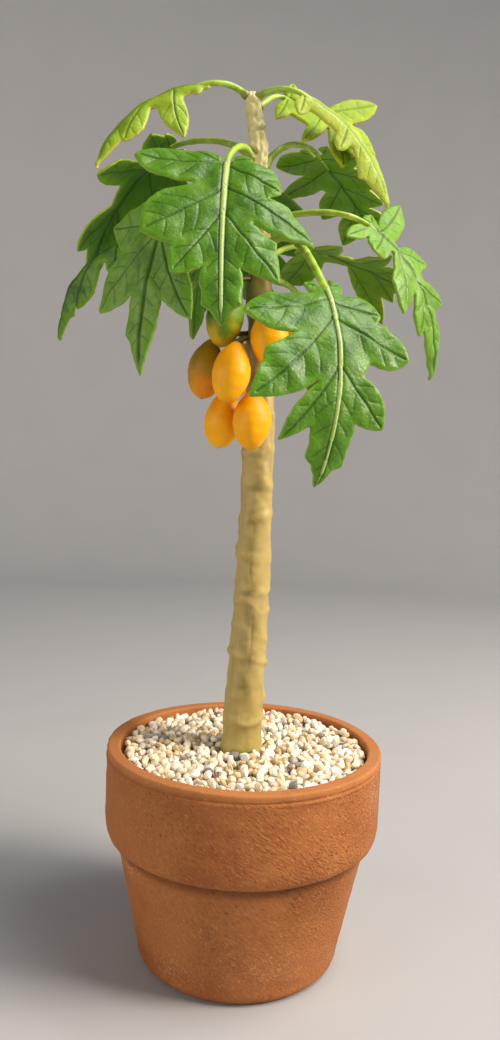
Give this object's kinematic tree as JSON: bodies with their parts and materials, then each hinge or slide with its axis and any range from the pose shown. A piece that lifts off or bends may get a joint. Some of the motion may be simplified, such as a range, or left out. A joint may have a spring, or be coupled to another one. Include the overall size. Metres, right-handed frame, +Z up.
{
  "type": "model papaya tree in a pot",
  "caption": "Small model papaya tree with a ringed trunk, drooping lobed leaves on arching stalks and hanging orange fruit, in a gravel-filled clay pot that stands on a table.",
  "frame": {"origin": "centre of the pot's flat underside", "axes": "+Z up along the trunk, -Y the side that faces the viewer in the picture, +X to the viewer's right"},
  "size_m": [0.179, 0.1551, 0.3988],
  "materials": {
    "terracotta": "matt fired clay, dragged rough",
    "gravel": "dry blunt grains",
    "trunk": "satin moulded clay with ring scars",
    "leaf_green": "satin leathery moulded leaf",
    "leaf_young": "satin leathery moulded leaf, yellow-green",
    "stalk": "smooth satin",
    "fruit_orange": "smooth satin, ripe",
    "fruit_brown": "smooth satin, ripe, browned",
    "fruit_green": "smooth satin, half ripe"
  },
  "bodies": {
    "root": {"pot": "terracotta", "gravel_bed": "gravel", "trunk": "trunk", "front_middle_blade": "leaf_green", "front_middle_stalk": "stalk", "front_right_blade": "leaf_green", "front_right_stalk": "stalk", "front_left_blade": "leaf_green", "front_left_stalk": "stalk", "upper_left_blade": "leaf_young", "upper_left_stalk": "stalk", "upper_right_front_blade": "leaf_young", "upper_right_front_stalk": "stalk", "upper_right_rear_blade": "leaf_young", "upper_right_rear_stalk": "stalk", "left_rear_blade": "leaf_green", "left_rear_stalk": "stalk", "left_side_blade": "leaf_green", "left_side_stalk": "stalk", "right_side_blade": "leaf_green", "right_side_stalk": "stalk", "right_rear_blade": "leaf_green", "right_rear_stalk": "stalk", "right_low_rear_blade": "leaf_green", "right_low_rear_stalk": "stalk", "left_low_rear_blade": "leaf_green", "left_low_rear_stalk": "stalk", "rear_high_blade": "leaf_green", "rear_high_stalk": "stalk", "rear_low_blade": "leaf_green", "rear_low_stalk": "stalk", "fruit_upper_left": "fruit_green", "fruit_left": "fruit_brown", "fruit_middle": "fruit_orange", "fruit_right": "fruit_orange", "fruit_low_left": "fruit_orange", "fruit_low_right": "fruit_orange", "fruit_back_right": "fruit_orange", "fruit_back_left": "fruit_orange", "fruit_back_middle": "fruit_green"}
  },
  "joints": []
}
